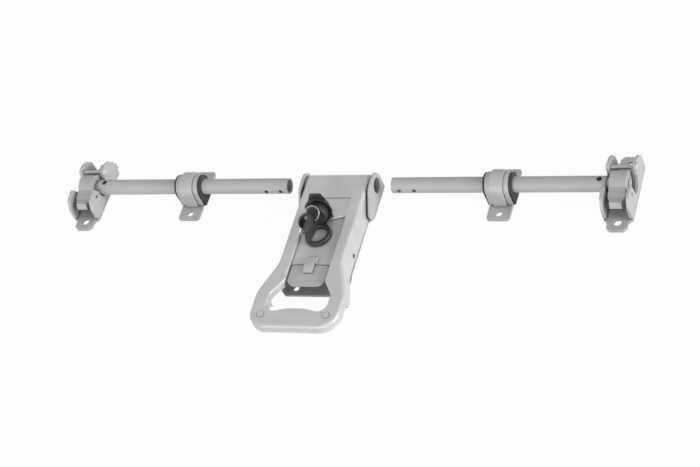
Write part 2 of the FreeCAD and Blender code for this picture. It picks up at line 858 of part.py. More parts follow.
def handle_panel():
    """Plate behind the window, with the bump that the catch hooks over."""
    top = "bar_height + hub_radius - face_sheet"
    plate = extrude(outline(free_sketch("panel", "XY", top + " - panel_sheet"), [
        ("panel_half_width", "-1 * window_top + panel_overlap"),
        ("panel_half_width", "-1 * panel_end"),
        ("-1 * panel_half_width", "-1 * panel_end"),
        ("-1 * panel_half_width", "-1 * window_top - window_slant + panel_overlap"),
    ]), "panel_sheet")
    bump = extrude(outline(free_sketch("bump", "YZ"), [
        ("-1 * bump_place", top),
        ("-1 * bump_place - bump_slope", top + " + bump_rise"),
        ("-1 * panel_end", top + " + bump_rise"),
        ("-1 * panel_end", top + " - panel_sheet"),
        ("-1 * bump_place", top + " - panel_sheet"),
    ]), "2 * bump_half_width", both=True)
    raised = fuse(plate, bump)
    height = size("bar_height") + size("hub_radius") - size("face_sheet") + size("bump_rise")
    raised = round_off(raised, 1.2, lambda edge: edge.BoundBox.ZMax > height - 0.01
                       and edge.BoundBox.YMin > -size("panel_end") - 0.01
                       and not (near(edge.BoundBox.YMax, -size("panel_end"))))
    return label(raised, "handle_panel")


def hub_sleeve():
    """Cross tube that turns in the ears and takes a bar at each end."""
    length = "2 * ( ear_inner + plate_sheet )"
    place = Vector(0, 0, size("bar_height"))
    outer = rod("sleeve_radius", length, place, ALONG_X)
    bore = rod("tube_radius + running_clearance", length + " + 2", place, ALONG_X)
    drills = free_sketch("sleeve_holes", "XZ")
    for sign in (-1, 1):
        for inset in ("20", "20 + cross_hole_spacing"):
            circle(drills, "%d * ( %s )" % (sign, inset), "bar_height", "cross_hole_radius")
    holes = extrude(drills, "sleeve_radius + 1")
    return label(cut(outer, bore, holes), "hub_sleeve")


def grip_backing():
    """Plate that closes the back of the grip."""
    bottom = "bar_height + hub_radius - grip_thickness"
    block = grip_block(bottom, bottom + " + backing_sheet")
    upper = extrude(outline(free_sketch("backing_trim", "XY"), mirrored([
        ("grip_half_width + 5", "5"),
        ("grip_half_width + 5", "-1 * notch_place - 5"),
    ])), "bar_height + hub_radius")
    drill = circle(free_sketch("backing_holes", "XY"), "mark_half_spacing",
                   "-1 * mark_place", "shank_radius")
    circle(drill, "-1 * mark_half_spacing", "-1 * mark_place", "shank_radius")
    plate = cut(block, upper, opening_tool(), extrude(drill, "bar_height + hub_radius"))
    return label(plate, "grip_backing")


def grip_rivets():
    """Two rivets with low flat heads, closed behind the backing plate."""
    rivets = []
    face = size("bar_height") + size("hub_radius")
    back = face - size("grip_thickness")
    for sign in (-1, 1):
        place = Vector(sign * size("mark_half_spacing"), -size("mark_place"), 0)
        shank = rod("shank_radius", "grip_thickness",
                    place + Vector(0, 0, (face + back) / 2), Rotation())
        head = rod("mark_radius", "mark_height",
                   place + Vector(0, 0, face + size("mark_height") / 2), Rotation())
        head = round_off(head, size("mark_height") * 0.6,
                         lambda edge: edge_at(edge, face + size("mark_height"))
                         and edge.Curve.TypeId == "Part::GeomCircle")
        tail = rod("mark_radius", "mark_height",
                   place + Vector(0, 0, back - size("mark_height") / 2), Rotation())
        rivets.append(fuse(shank, head, tail))
    pair = doc.addObject("Part::Compound", "Rivets")
    pair.Links = rivets
    doc.recompute()
    return label(pair, "grip_rivets")


# Catch

def catch_paddle():
    """Thumb plate with two arms to its pin and a tongue over the panel's bump."""
    top = "bar_height + hub_radius - face_sheet"
    bump_top = top + " + bump_rise + tongue_gap"
    plate = extrude(outline(free_sketch("paddle", "XY", top + " - paddle_sheet"), mirrored([
        ("paddle_half_width", "-1 * paddle_top"),
        ("paddle_half_width", "-1 * paddle_end"),
    ])), "paddle_sheet")
    low = -size("paddle_end")
    high = -size("paddle_top")
    plate = round_off(plate, size("paddle_corner"), lambda edge: along(edge, Z_AXIS)
                      and near(edge.Vertexes[0].Point.y, low))
    plate = round_off(plate, size("paddle_top_corner"), lambda edge: along(edge, Z_AXIS)
                      and near(edge.Vertexes[0].Point.y, high))
    undercut = extrude(outline(free_sketch("undercut", "YZ"), [
        ("-1 * paddle_top", top),
        ("-1 * paddle_top - paddle_undercut", top + " - paddle_sheet"),
        ("-1 * paddle_top + 1", top + " - paddle_sheet"),
        ("-1 * paddle_top + 1", top),
    ]), "2 * paddle_half_width + 2", both=True)
    plate = cut(plate, undercut)
    tongue = extrude(outline(free_sketch("tongue", "YZ"), [
        ("-1 * tongue_end", top + " - 1"),
        ("-1 * tongue_end", top + " + 2"),
        ("-1 * tongue_end + 7", bump_top + " + tongue_sheet - 0.8"),
        ("-1 * tongue_end + 10", bump_top + " + tongue_sheet"),
        ("-1 * tongue_start", bump_top + " + tongue_sheet"),
        ("-1 * tongue_start", bump_top),
        ("-1 * panel_end - 0.9", bump_top),
        ("-1 * paddle_top - 1", top + " - 1"),
    ]), "2 * tongue_half_width", both=True)
    pin = "-1 * catch_pin_place"
    arms = []
    for sign in (-1, 1):
        start = "%d * ( arm_place + arm_sheet / 2 )" % sign
        arm = extrude(outline(free_sketch("arm", "YZ", start), [
            ("-1 * paddle_end + 8", top + " - paddle_sheet"),
            ("-1 * paddle_top - paddle_undercut - 1", top + " - paddle_sheet"),
            ("-1 * paddle_top - 1", "catch_pin_height + 6"),
            (pin + " + 3", "catch_pin_height + 6"),
            (pin + " + 7", "catch_pin_height + 2"),
            (pin + " + 5", "catch_pin_height - 6"),
            (pin + " - 6", "catch_pin_height - 6.5"),
            ("-1 * paddle_end + 12", top + " - paddle_sheet - 6"),
        ]), "arm_sheet", both=True)
        arms.append(arm)
    whole = fuse(plate, tongue, *arms)
    bore = rod("catch_pin_radius + running_clearance", "2 * paddle_half_width + 10",
               Vector(0, -size("catch_pin_place"), size("catch_pin_height")), ALONG_X)
    return label(cut(whole, bore), "catch_paddle")


def catch_pin():
    pin = rod("catch_pin_radius", "2 * ( hub_half_width - catch_pin_sink )",
              Vector(0, -size("catch_pin_place"), size("catch_pin_height")), ALONG_X)
    return label(pin, "catch_pin")


def catch_spring():
    """Torsion spring wound round the catch pin, between the paddle's arms."""
    turns = size("spring_turns")
    pitch = size("spring_pitch")
    wire = size("spring_wire")
    radius = size("catch_pin_radius") + size("spring_clearance") + wire
    coil = Part.makeHelix(pitch, pitch * turns, radius)
    section = Part.Wire([Part.makeCircle(wire, Vector(radius, 0, 0), Vector(0, 1, 0))])
    pipe = Part.Wire(coil.Edges).makePipeShell([section], True, True)
    spring = doc.addObject("Part::Feature", "Spring")
    spring.Shape = pipe
    spring.Placement = FreeCAD.Placement(
        Vector(-pitch * turns / 2, -size("catch_pin_place"), size("catch_pin_height")), ALONG_X)
    return label(spring, "catch_spring")


# Lock, in its own frame: x along the set, y up from the handle, z out of the mouth

def lock_place():
    turn = Rotation(X_AXIS, 90 - size("lock_tilt"))
    return FreeCAD.Placement(
        Vector(size("lock_side"), -size("lock_place"), size("lock_height")), turn)


def seat(item, name):
    """Put a piece that was drawn in the lock's frame where the lock is."""
    item.Placement = lock_place().multiply(item.Placement)
    doc.recompute()
    return label(item, name)


def lock_disc(radius, start, length):
    """Round bar along the lock's own axis, drawn in the lock's frame."""
    sketch = circle(free_sketch("disc", "XY", start), "0", "0", radius)
    return extrude(sketch, length)


def lock_housing():
    gable = extrude(outline(free_sketch("gable", "XY", "-1 * housing_depth"), mirrored([
        ("housing_radius", "-1 * housing_radius"),
        ("housing_radius", "roof_shoulder"),
        ("roof_half_width", "roof_height"),
    ])), "housing_depth - collar_depth")
    base_round = lock_disc("housing_radius", "-1 * housing_depth", "housing_depth")
    roof = extrude(outline(free_sketch("roof", "YZ"), [
        ("roof_height + 1", "-1 * roof_back"),
        ("roof_height", "-1 * roof_back"),
        ("roof_shoulder", "-1 * housing_depth + 3"),
        ("roof_shoulder - 2", "-1 * housing_depth - 1"),
        ("roof_height + 1", "-1 * housing_depth - 1"),
    ]), "2 * housing_radius + 2", both=True)
    chin = extrude(outline(free_sketch("chin", "YZ"), [
        ("-1 * housing_radius * 0.55", "1"),
        ("-1 * housing_radius * 0.55", "-1 * housing_depth - 1"),
        ("-1 * housing_radius - 1", "-1 * housing_depth - 1"),
        ("-1 * housing_radius - 1", "1"),
    ]), "2 * housing_radius + 2", both=True)
    gable = cut(gable, roof, chin)
    whole = fuse(gable, base_round)
    mouth = lock_disc("mouth_radius", "-1 * mouth_depth", "mouth_depth + 1")
    bore = lock_disc("barrel_radius + running_clearance", "-1 * housing_depth + housing_wall",
                     "housing_depth")
    cavity = lock_disc("lock_tongue_reach + 2 * part_gap", "-1 * barrel_in - tongue_depth - 3",
                       "tongue_depth + 3")
    shell = cut(whole, mouth, bore, cavity)
    placed = doc.addObject("Part::Feature", "PlacedHousing")
    placed.Shape = shell.Shape
    placed.Placement = lock_place()
    face = outline(free_sketch("housing_seat", "XY", "-5"), [
        ("window_half_width", "0"),
        ("window_half_width", "-1 * window_top - part_gap"),
        ("-1 * window_half_width", "-1 * window_top - window_slant - part_gap"),
        ("-1 * window_half_width", "0"),
    ])
    under = extrude(face, "bar_height + hub_radius + 5")
    sunk = extrude(outline(free_sketch("panel_seat", "XY", "-5"), mirrored([
        ("grip_half_width", "0"),
        ("grip_half_width", "-1 * panel_end"),
    ])), "bar_height + hub_radius - face_sheet + 5 + part_gap")
    hole = rod("ring_pin_radius", "4 * ring_lug_place", ring_pin_place(), ALONG_X)
    seated = cut(fuse(placed, *ring_lugs()), fuse(under, sunk))
    return label(cut(seated, hole), "lock_housing")


def ring_lugs():
    """Two small lugs under the mouth that hold the pin of the dust ring."""
    place = ring_pin_place()
    rest = size("bar_height") + size("hub_radius") - size("face_sheet")
    lugs = []
    for sign in (-1, 1):
        middle = sign * (size("ring_lug_place") + size("ring_lug_sheet") / 2)
        end = rod("ring_lug_radius", "ring_lug_sheet", place + Vector(middle, 0, 0), ALONG_X)
        web = doc.addObject("Part::Box", "Web")
        web.setExpression("Length", "Sizes.ring_lug_sheet")
        web.setExpression("Width", "Sizes.housing_radius / 3")
        web.setExpression("Height", "2 * Sizes.ring_lug_radius")
        start = middle - size("ring_lug_sheet") / 2
        web.Placement.Base = place + Vector(start, 0, -size("ring_lug_radius"))
        doc.recompute()
        if web.Shape.BoundBox.ZMin < rest:
            raise ValueError("a lug of the dust ring sinks into the panel")
        lugs += [end, web]
    return lugs


def lock_barrel():
    body = lock_disc("barrel_radius", "-1 * barrel_in", "barrel_in + barrel_out")
    rim = size("barrel_out")
    body = round_off(body, 1.0, lambda edge: edge_at(edge, rim))
    way = extrude(outline(free_sketch("keyway", "XY", "barrel_out - blade_depth"), mirrored([
        ("blade_thickness / 2 + running_clearance", "-1 * blade_height / 2 - running_clearance"),
        ("blade_thickness / 2 + running_clearance", "blade_height / 2 + running_clearance"),
    ])), "blade_depth + 1")
    stem = lock_disc("tongue_screw_radius", "-1 * barrel_in - 1", "8")
    return seat(cut(body, way, stem), "lock_barrel")


def lock_tongue():
    """Flat tongue on the back of the barrel, turned aside when the lock is open."""
    bar = extrude(outline(free_sketch("lock_tongue", "XY", "-1 * barrel_in - tongue_depth"), [
        ("-1 * lock_tongue_half_width - 2", "-1 * lock_tongue_half_width"),
        ("lock_tongue_reach - 1", "-1 * lock_tongue_half_width"),
        ("lock_tongue_reach - 1", "lock_tongue_half_width"),
        ("-1 * lock_tongue_half_width - 2", "lock_tongue_half_width"),
    ]), "tongue_depth")
    hole = lock_disc("tongue_screw_radius", "-1 * barrel_in - tongue_depth - 1",
                     "tongue_depth + 2")
    return seat(cut(bar, hole), "lock_tongue")


def tongue_screw():
    stem = lock_disc("tongue_screw_radius", "-1 * barrel_in - tongue_depth", "tongue_depth + 6")
    head = lock_disc("tongue_screw_radius * 1.8", "-1 * barrel_in - tongue_depth - 2", "2")
    return seat(fuse(stem, head), "tongue_screw")


def key_blade():
    start = "barrel_out - blade_depth"
    half = "blade_thickness / 2"
    blade = extrude(outline(free_sketch("blade", "XY", start), mirrored([
        (half, "-1 * blade_height / 2"),
        (half, "blade_height / 2"),
    ])), "blade_depth + neck_length")
    return seat(blade, "key_blade")


def key_head():
    """Plastic head of the key, edge on to the mouth, with a hole for the wire."""
    start = "barrel_out + neck_length - socket_depth"
    block = extrude(outline(free_sketch("head", "YZ"), [
        ("-1 * head_height / 2", start),
        ("head_height / 2", start),
        ("head_height / 2", start + " + head_length"),
        ("-1 * head_height / 2", start + " + head_length"),
    ]), "head_thickness", both=True)
    block = round_off(block, size("head_corner"), lambda edge: along(edge, X_AXIS))
    thick = size("head_thickness") / 2
    block = round_off(block, 1.6, lambda edge: near(edge.BoundBox.XMin, edge.BoundBox.XMax)
                      and near(abs(edge.BoundBox.XMax), thick))
    socket = extrude(outline(free_sketch("socket", "XY", "barrel_out"), mirrored([
        ("blade_thickness / 2", "-1 * blade_height / 2"),
        ("blade_thickness / 2", "blade_height / 2"),
    ])), "neck_length")
    eye = circle(free_sketch("eye", "YZ"), "eye_rise", start + " + eye_inset", "bow_hole_radius")
    hole = extrude(eye, "head_thickness + 2", both=True)
    return seat(cut(block, socket, hole), "key_head")


def ring_pin_place():
    """Place of the dust ring's pin: under the mouth, level with the middle of the ring."""
    rest = size("bar_height") + size("hub_radius") - size("face_sheet") + size("ring_lift")
    low = size("housing_radius") * math.sin(math.radians(size("lock_tilt")))
    reach = size("lock_place") + low + size("ring_lug_radius") + part_gap()
    return Vector(size("lock_side"), -reach, rest + size("ring_thickness") / 2)


def part_gap():
    return size("part_gap")


def dust_ring():
    """Ring that hangs on a pin under the mouth and lies along the panel."""
    place = ring_pin_place()
    rest = "bar_height + hub_radius - face_sheet + ring_lift"
    flat = "ring_radius - ring_flat"
    sketch = circle(free_sketch("ring", "XY", rest), "0", "0", "ring_radius")
    ring = extrude(circle(sketch, "0", "0", "ring_bore_radius"), "ring_thickness")
    trim = extrude(outline(free_sketch("ring_flat", "XY"), mirrored([
        ("ring_radius", flat),
        ("ring_radius", "ring_radius + 1"),
    ])), "bar_height + hub_radius + 10")
    ring = round_off(cut(ring, trim), 1.8, lambda edge: edge.Curve.TypeId == "Part::GeomCircle")
    knuckle = rod("ring_lug_radius", "2 * ( ring_lug_place - part_gap )",
                  Vector(0, place.y + ring_reach(), place.z), ALONG_X)
    neck = extrude(outline(free_sketch("ring_neck", "YZ"), [
        (flat + " - 2", rest + " + 0.5"),
        (flat + " + ring_flat", rest + " + 0.5"),
        (flat + " + ring_flat", rest + " + ring_thickness - 0.5"),
        (flat + " - 2", rest + " + ring_thickness - 0.5"),
    ]), "2 * ( ring_lug_place - part_gap )", both=True)
    bore = rod("ring_pin_radius + running_clearance", "4 * ring_lug_place",
               Vector(0, place.y + ring_reach(), place.z), ALONG_X)
    whole = cut(fuse(ring, knuckle, neck), bore)
    whole.Placement.Base = Vector(place.x, -ring_reach(), 0)
    doc.recompute()
    return label(whole, "dust_ring")


def ring_reach():
    """Distance from the bar axis to the middle of the dust ring."""
    return -ring_pin_place().y + size("ring_radius") - size("ring_flat") \
        + size("ring_lug_radius") + part_gap()


def dust_ring_pin():
    length = "2 * ( ring_lug_place + ring_lug_sheet )"
    return label(rod("ring_pin_radius", length, ring_pin_place(), ALONG_X), "dust_ring_pin")


# The wire ring and the second key

def eye_place():
    """Middle of the hole in the head of the key that is in the lock."""
    out = size("barrel_out") + size("neck_length") - size("socket_depth") + size("eye_inset")
    return lock_place().multVec(Vector(0, size("eye_rise"), out))


def wire_rise():
    """Direction from the key's eye to the middle of the wire ring."""
    lean = math.radians(size("wire_lean"))
    return Vector(0, math.cos(lean), math.sin(lean))


def key_wire():
    ring = doc.addObject("Part::Torus", "Wire")
    ring.setExpression("Radius1", "Sizes.wire_loop_radius")
    ring.setExpression("Radius2", "Sizes.wire_radius")
    centre = eye_place() + wire_rise() * size("wire_loop_radius")
    ring.Placement = FreeCAD.Placement(centre, Rotation(X_AXIS, size("wire_lean")))
    doc.recompute()
    return label(ring, "key_wire")


def spare_place():
    """The second key's own frame: x along the key, z through its eye."""
    around = math.radians(size("spare_around"))
    radius = size("wire_loop_radius")
    centre = eye_place() + wire_rise() * radius
    hole = centre + X_AXIS * (radius * math.cos(around)) + wire_rise() * (radius * math.sin(around))
    down = Vector(-0.3, -0.7, -0.65).normalize()
    through = Vector(0.85, -0.5, 0.1)
    through = (through - down * through.dot(down)).normalize()
    return FreeCAD.Placement(hole, Rotation(down, through.cross(down), through, "XYZ"))


def hang(item, name):
    """Put a piece that was drawn in the second key's frame on the wire."""
    item.Placement = spare_place().multiply(item.Placement)
    doc.recompute()
    return label(item, name)


def spare_key_head():
    """Round head, wider towards the blade, with the eye near its rim."""
    bow = rod("bow_radius", "bow_thickness", Vector(size("bow_hole_offset"), 0, 0), Rotation())
    edge_height = size("bow_thickness") / 2
    bow = round_off(bow, 1.2, lambda edge: near(abs(edge.BoundBox.ZMin), edge_height)
                    and edge_at(edge, edge.BoundBox.ZMin)
                    and edge.Curve.TypeId == "Part::GeomCircle")
    eye = rod("bow_hole_radius", "bow_thickness + 2", Vector(0, 0, 0), Rotation())
    slot = extrude(outline(free_sketch("bow_slot", "XY"), [
        ("bow_hole_offset + bow_radius - socket_depth", "-1 * blade_height / 2"),
        ("bow_hole_offset + bow_radius + 1", "-1 * blade_height / 2"),
        ("bow_hole_offset + bow_radius + 1", "blade_height / 2"),
        ("bow_hole_offset + bow_radius - socket_depth", "blade_height / 2"),
    ]), "blade_thickness", both=True)
    return hang(cut(bow, eye, slot), "spare_key_head")


def spare_key_blade():
    start = "bow_hole_offset + bow_radius - socket_depth"
    blade = extrude(outline(free_sketch("spare_blade", "XY"), [
        (start, "-1 * blade_height / 2"),
        (start + " + spare_blade_length - 3", "-1 * blade_height / 2"),
        (start + " + spare_blade_length", "0"),
        (start + " + spare_blade_length - 3", "blade_height / 2"),
        (start, "blade_height / 2"),
    ]), "blade_thickness", both=True)
    return hang(blade, "spare_key_blade")


for side, sign in (("left", -1), ("right", 1)):
    keeper(side, sign)
    keeper_pin(side, sign)
    cam(side, sign)
    bar_tube(side, sign)
    guide_strap(side, sign)
    guide_bush(side, sign)
base_plate()
handle_shell()
handle_panel()
hub_sleeve()
grip_backing()
grip_rivets()
catch_paddle()
catch_pin()
catch_spring()
lock_housing()
lock_barrel()
lock_tongue()
tongue_screw()
key_blade()
key_head()
dust_ring()
dust_ring_pin()
key_wire()
spare_key_head()
spare_key_blade()

# Checks, then one file for each piece
doc.recompute()
for item in doc.Objects:
    if "Invalid" in item.State or "Error" in item.State:
        raise ValueError("%s has failed" % item.Label)
os.makedirs("parts", exist_ok=True)
for piece in nodes:
    shape = piece.Shape
    if shape.isNull() or not shape.isValid() or not shape.Solids:
        raise ValueError("%s has no valid solid" % piece.Label)
    shape.exportStep(os.path.join("parts", piece.Label + ".step"))
    print(piece.Label, len(shape.Solids), round(shape.Volume, 1))
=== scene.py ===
import json
import math

import bmesh
import bpy
from mathutils import Matrix, Vector


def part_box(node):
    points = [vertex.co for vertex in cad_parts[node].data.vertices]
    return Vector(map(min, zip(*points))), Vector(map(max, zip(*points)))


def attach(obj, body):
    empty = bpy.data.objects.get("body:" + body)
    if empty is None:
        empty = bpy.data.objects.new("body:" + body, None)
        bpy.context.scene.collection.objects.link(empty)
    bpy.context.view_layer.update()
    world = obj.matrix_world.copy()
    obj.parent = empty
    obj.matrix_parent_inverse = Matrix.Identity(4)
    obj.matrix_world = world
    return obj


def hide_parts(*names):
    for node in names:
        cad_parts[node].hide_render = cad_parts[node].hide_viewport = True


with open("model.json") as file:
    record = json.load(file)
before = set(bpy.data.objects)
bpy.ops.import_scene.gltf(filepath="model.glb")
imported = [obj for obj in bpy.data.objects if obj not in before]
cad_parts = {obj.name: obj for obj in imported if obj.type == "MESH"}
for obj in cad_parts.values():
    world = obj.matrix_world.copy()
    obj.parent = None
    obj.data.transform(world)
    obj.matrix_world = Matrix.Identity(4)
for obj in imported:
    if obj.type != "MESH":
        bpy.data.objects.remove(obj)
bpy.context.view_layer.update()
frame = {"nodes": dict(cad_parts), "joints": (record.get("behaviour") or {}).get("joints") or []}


def stand(name, data):
    """A new object of a mesh, lamp or camera, put into the scene."""
    made = bpy.data.objects.new(name, data)
    bpy.context.scene.collection.objects.link(made)
    return made


# Shader nodes

def tree(name):
    """A new material with its node tree, shader and object-space coordinates."""
    material = bpy.data.materials.new(name)
    material.use_nodes = True
    nodes = material.node_tree.nodes
    place = nodes.new("ShaderNodeTexCoord")
    return material, material.node_tree, nodes["Principled BSDF"], place.outputs["Object"]


def calculate(net, kind, operation, *values):
    """A Math or VectorMath node whose inputs are sockets, numbers or vectors."""
    made = net.nodes.new("ShaderNode" + kind)
    made.operation = operation
    for socket, value in zip(made.inputs, values):
        if isinstance(value, bpy.types.NodeSocket):
            net.links.new(value, socket)
        else:
            socket.default_value = value
    return made


def noise(net, vector, scale, detail, rough, stretch=(1, 1, 1)):
    """Noise of a scale per metre, stretched along the axes."""
    mapping = net.nodes.new("ShaderNodeMapping")
    mapping.inputs["Scale"].default_value = stretch
    net.links.new(vector, mapping.inputs["Vector"])
    made = net.nodes.new("ShaderNodeTexNoise")
    made.inputs["Scale"].default_value = scale
    made.inputs["Detail"].default_value = detail
    made.inputs["Roughness"].default_value = rough
    net.links.new(mapping.outputs["Vector"], made.inputs["Vector"])
    return made.outputs["Fac"]


def ramp(net, value, low, high, first=0.35, last=0.65):
    """Map a value between first and last to a range of numbers or colours."""
    made = net.nodes.new("ShaderNodeValToRGB")
    made.color_ramp.elements[0].position = first
    made.color_ramp.elements[1].position = last
    for element, level in zip(made.color_ramp.elements, (low, high)):
        element.color = (*level, 1) if isinstance(level, tuple) else (level, level, level, 1)
    net.links.new(value, made.inputs["Fac"])
    return made.outputs["Color"]


def multiplied(net, tone, factor):
    """A tone multiplied by a factor."""
    mixed = net.nodes.new("ShaderNodeMix")
    mixed.data_type = "RGBA"
    mixed.blend_type = "MULTIPLY"
    mixed.inputs["Factor"].default_value = 1.0
    net.links.new(tone, mixed.inputs["A"])
    net.links.new(factor, mixed.inputs["B"])
    return mixed.outputs["Result"]


def drawn_to(net, tone, grey, share):
    """A tone drawn to a grey by a share."""
    mixed = net.nodes.new("ShaderNodeMix")
    mixed.data_type = "RGBA"
    mixed.inputs["B"].default_value = (grey, grey, grey, 1)
    net.links.new(share, mixed.inputs["Factor"])
    net.links.new(tone, mixed.inputs["A"])
    return mixed.outputs["Result"]


def painted_crevice_shade(net, tone, reach, floor):
    """Darken a tone down to the floor where other surfaces stand within reach: painted shade in the
    crevices.
    """
    near = net.nodes.new("ShaderNodeAmbientOcclusion")
    near.samples = 8
    near.inputs["Distance"].default_value = reach
    return multiplied(net, tone, ramp(net, near.outputs["AO"], floor, 1.0, first=0.1, last=0.85))


def painted_edge_highlight(net, tone, radius, light):
    """Lighten a tone along the edges, a painted highlight standing in for the light that rounded edges
    catch.
    """
    soft = net.nodes.new("ShaderNodeBevel")
    soft.samples = 8
    soft.inputs["Radius"].default_value = radius
    hard = net.nodes.new("ShaderNodeNewGeometry")
    match = calculate(net, "VectorMath", "DOT_PRODUCT", soft.outputs["Normal"], hard.outputs["Normal"])
    share = ramp(net, match.outputs["Value"], 1.0, 0.0, first=0.8, last=0.995)
    return drawn_to(net, tone, light, share)


def painted_inner_shade(net, place, tone, reach):
    """Darken a tone nearly to black, as painted shade, where the distance along X from the middle is
    under reach.
    """
    parts = net.nodes.new("ShaderNodeSeparateXYZ")
    net.links.new(place, parts.inputs[0])
    away = calculate(net, "Math", "ABSOLUTE", parts.outputs["X"])
    inner = calculate(net, "Math", "LESS_THAN", away.outputs[0], reach)
    return drawn_to(net, tone, 0.03, inner.outputs[0])


def bump(net, shader, heights):
    """Stack bumps given as (height, strength, distance in metres)."""
    last = None
    for height, strength, distance in heights:
        made = net.nodes.new("ShaderNodeBump")
        made.inputs["Strength"].default_value = strength
        made.inputs["Distance"].default_value = distance
        net.links.new(height, made.inputs["Height"])
        if last is not None:
            net.links.new(last, made.inputs["Normal"])
        last = made.outputs["Normal"]
    net.links.new(last, shader.inputs["Normal"])


def seen(net):
    """One for camera, glossy and transmission rays, zero for the rest."""
    path = net.nodes.new("ShaderNodeLightPath")
    first = calculate(net, "Math", "MAXIMUM", path.outputs["Is Camera Ray"],
                      path.outputs["Is Glossy Ray"])
    second = calculate(net, "Math", "MAXIMUM", first.outputs[0],
                       path.outputs["Is Transmission Ray"])
    return second.outputs[0]


def shade(colour, factor):
    return tuple(channel * factor for channel in colour)


# Materials

def steel(name, colour, rough, metal, grain=0.25, stretch=(1, 1, 1), spread=0.05,
          edge=0.0006, shade_floor=0.6, dark_within=0.0):
    """Satin steel: fine blasted grain, faint cloudy tone and uneven gloss.

    Its edges are lighter over the radius given as edge, as a painted highlight, and its crevices
    darker over three reaches, as painted shade.
    It is nearly black where it lies closer to the middle along X than dark_within, as painted shade.
    """
    material, net, shader, place = tree(name)
    cloud = noise(net, place, scale=38, detail=4, rough=0.6, stretch=stretch)
    fine = noise(net, place, scale=1500, detail=2, rough=0.5, stretch=stretch)
    tone = ramp(net, cloud, shade(colour, 1 - spread), shade(colour, 1 + spread))
    # Painted highlight along the edges, then painted shade in the crevices over three reaches.
    tone = painted_edge_highlight(net, tone, radius=edge, light=0.78)
    tone = painted_crevice_shade(net, tone, reach=0.012, floor=shade_floor)
    tone = painted_crevice_shade(net, tone, reach=0.004, floor=0.25)
    tone = painted_crevice_shade(net, tone, reach=0.002, floor=0.12)
    # Painted shade: nearly black nearer the middle along X.
    if dark_within:
        tone = painted_inner_shade(net, place, tone, dark_within)
    net.links.new(tone, shader.inputs["Base Color"])
    gloss = ramp(net, cloud, rough - 0.05, rough + 0.06)
    net.links.new(gloss, shader.inputs["Roughness"])
    shader.inputs["Metallic"].default_value = metal
    bump(net, shader, [(fine, grain, 0.00004), (cloud, 0.08, 0.0002)])
    return material


def painted_rivet_shade(material, across, along, radius, half_width, share):
    """Darken a material in a thin ring on each side round a rivet, as painted shade where the rivet
    meets the face.
    """
    net = material.node_tree
    shader = net.nodes["Principled BSDF"]
    tone = shader.inputs["Base Color"].links[0].from_socket
    place = net.nodes["Texture Coordinate"].outputs["Object"]
    fold = calculate(net, "VectorMath", "ABSOLUTE", place)
    flat = calculate(net, "VectorMath", "MULTIPLY", fold.outputs["Vector"], (1, 1, 0))
    away = calculate(net, "VectorMath", "DISTANCE", flat.outputs["Vector"], (across, along, 0))
    ring = calculate(net, "Math", "COMPARE", away.outputs["Value"], radius, half_width)
    level = ramp(net, ring.outputs[0], 1.0, share, first=0.0, last=1.0)
    net.links.new(multiplied(net, tone, level), shader.inputs["Base Color"])


def rubber(name, colour, rough):
    """Moulded rubber: dull, with a fine skin and dusty patches."""
    material, net, shader, place = tree(name)
    dust = noise(net, place, scale=60, detail=4, rough=0.6)
    skin = noise(net, place, scale=900, detail=3, rough=0.6)
    net.links.new(ramp(net, dust, shade(colour, 0.8), shade(colour, 1.35)),
                  shader.inputs["Base Color"])
    net.links.new(ramp(net, dust, rough - 0.06, rough + 0.1), shader.inputs["Roughness"])
    shader.inputs["Specular IOR Level"].default_value = 0.35
    bump(net, shader, [(skin, 0.3, 0.00008)])
    return material


def plastic(name, colour, rough):
    """Black moulded plastic: a soft sheen with a faint orange-peel skin."""
    material, net, shader, place = tree(name)
    cloud = noise(net, place, scale=80, detail=3, rough=0.5)
    skin = noise(net, place, scale=700, detail=2, rough=0.5)
    net.links.new(ramp(net, cloud, shade(colour, 0.88), shade(colour, 1.15)),
                  shader.inputs["Base Color"])
    net.links.new(ramp(net, cloud, rough - 0.05, rough + 0.07), shader.inputs["Roughness"])
    bump(net, shader, [(skin, 0.12, 0.00006)])
    return material


def bright(name, colour, rough):
    """Plated wire and key steel: clear reflections and fine drawn lines."""
    material, net, shader, place = tree(name)
    lines = noise(net, place, scale=600, detail=2, rough=0.5, stretch=(6, 1, 1))
    net.links.new(ramp(net, lines, shade(colour, 0.94), shade(colour, 1.05)),
                  shader.inputs["Base Color"])
    net.links.new(ramp(net, lines, rough - 0.04, rough + 0.08), shader.inputs["Roughness"])
    shader.inputs["Metallic"].default_value = 1.0
    bump(net, shader, [(lines, 0.1, 0.00003)])
    return material


TUBE_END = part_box("right_bar_tube")[1].x
RIVETS_LOW, RIVETS_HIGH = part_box("grip_rivets")
RIVET_RADIUS = (RIVETS_HIGH.y - RIVETS_LOW.y) / 2
# Painted shade: a thin dark ring round each grip rivet, this far out from its edge.
RIVET_SHADE_GAP = 0.0004
HANDLE = steel("handle_satin", (0.55, 0.56, 0.545), rough=0.38, metal=0.25, edge=0.001)
painted_rivet_shade(HANDLE, across=RIVETS_HIGH.x - RIVET_RADIUS, along=-RIVETS_LOW.y - RIVET_RADIUS,
       radius=RIVET_RADIUS + RIVET_SHADE_GAP, half_width=0.0005, share=0.5)
PANEL = steel("panel_satin", (0.53, 0.54, 0.525), rough=0.52, metal=0.2, shade_floor=0.8)
PRESSED = steel("pressed_satin", (0.45, 0.46, 0.445), rough=0.5, metal=0.2, edge=0.001)
